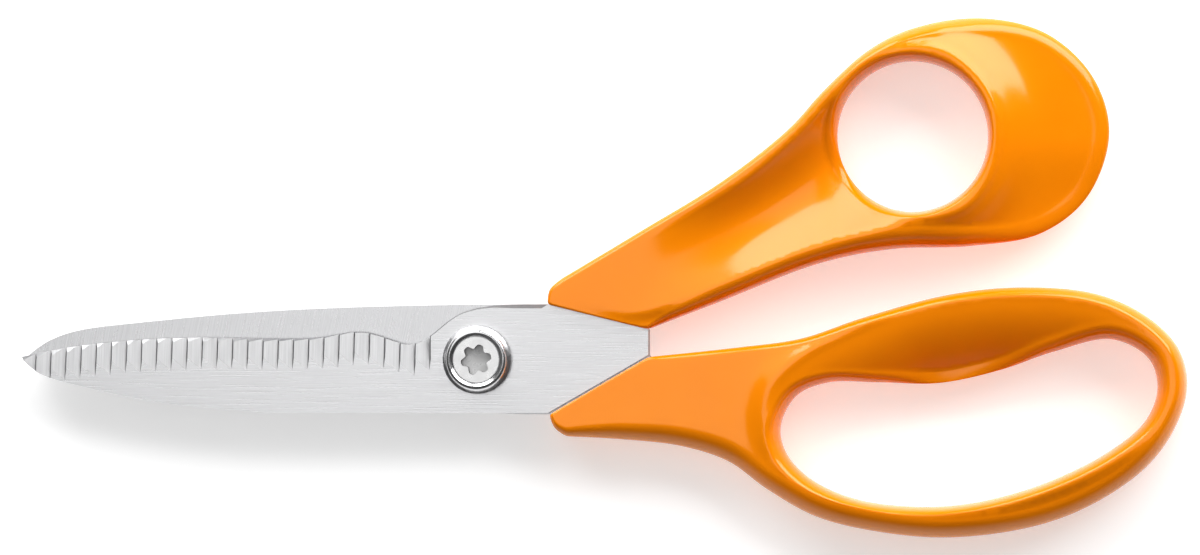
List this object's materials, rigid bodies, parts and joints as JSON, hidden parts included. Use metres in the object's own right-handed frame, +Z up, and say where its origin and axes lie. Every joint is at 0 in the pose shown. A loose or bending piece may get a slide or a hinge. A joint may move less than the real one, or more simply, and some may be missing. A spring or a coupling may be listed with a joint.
{
  "type": "pinking shears",
  "caption": "Pinking shears with fluted toothed steel blades, a screwed pivot, a round thumb loop and a long finger loop.",
  "frame": {"origin": "on the pivot axis, on the plane that the closed shears rest on", "axes": "the blades point to -X, the thumb handle is on the +Y side, +Z is up along the pivot axis"},
  "size_m": [0.2311, 0.1025, 0.0146],
  "materials": {
    "blade_steel": "ground and finely brushed",
    "handle_plastic": "polished orange moulding",
    "pivot_chrome": "polished",
    "screw_steel": "satin plated",
    "bearing_plastic": "smooth"
  },
  "bodies": {
    "finger_side": {"rear_blade": "blade_steel", "finger_handle": "handle_plastic", "pivot_nut": "pivot_chrome", "pivot_screw": "screw_steel", "screw_collar": "pivot_chrome", "spring_washer": "screw_steel", "bearing_washer": "bearing_plastic"},
    "thumb_side": {"front_blade": "blade_steel", "thumb_handle": "handle_plastic"}
  },
  "joints": [
    {"name": "pivot", "type": "hinge", "parent": "finger_side", "child": "thumb_side", "pos_m": [0, 0, 0.007], "axis": [0, 0, 1], "range_deg": [0, 38]}
  ]
}
